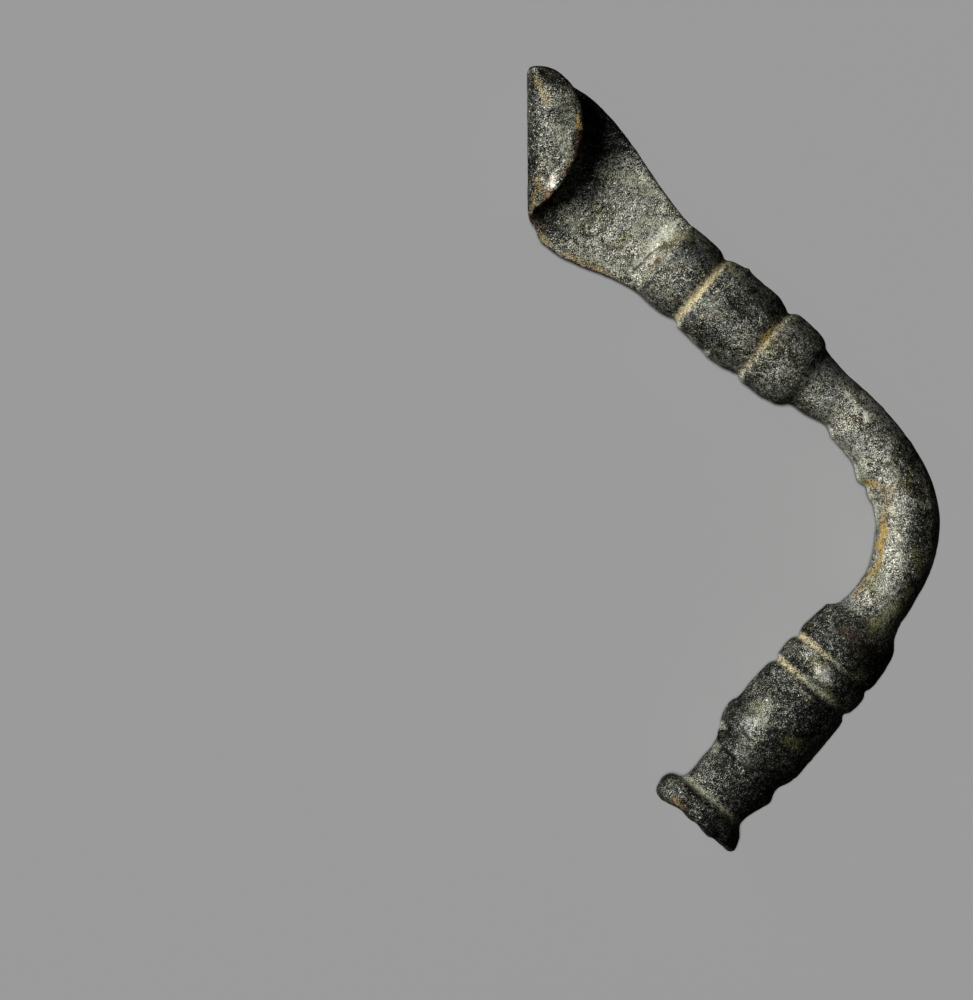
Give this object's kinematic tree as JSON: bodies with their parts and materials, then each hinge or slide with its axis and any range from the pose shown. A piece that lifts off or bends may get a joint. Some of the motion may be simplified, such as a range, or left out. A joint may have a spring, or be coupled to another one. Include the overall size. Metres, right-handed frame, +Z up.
{
  "type": "fibula brooch",
  "caption": "Cast bronze bow brooch with moulded arms, a rounded elbow, a fan-shaped plate and a folded catch, its pin and spring lost, lying on its side.",
  "frame": {"origin": "centre of the bounding box, on the surface that the brooch lies on", "axes": "+Z up out of the side with the folded catch, +Y from the broken end towards the catch plate, +X towards the elbow of the bow"},
  "size_m": [0.0276, 0.052, 0.0067],
  "materials": {
    "patinated_bronze": "dark brown-green patina with soil in the grooves, worn semi-gloss on the mouldings"
  },
  "bodies": {
    "root": {"bow_and_catchplate": "patinated_bronze"}
  },
  "joints": []
}
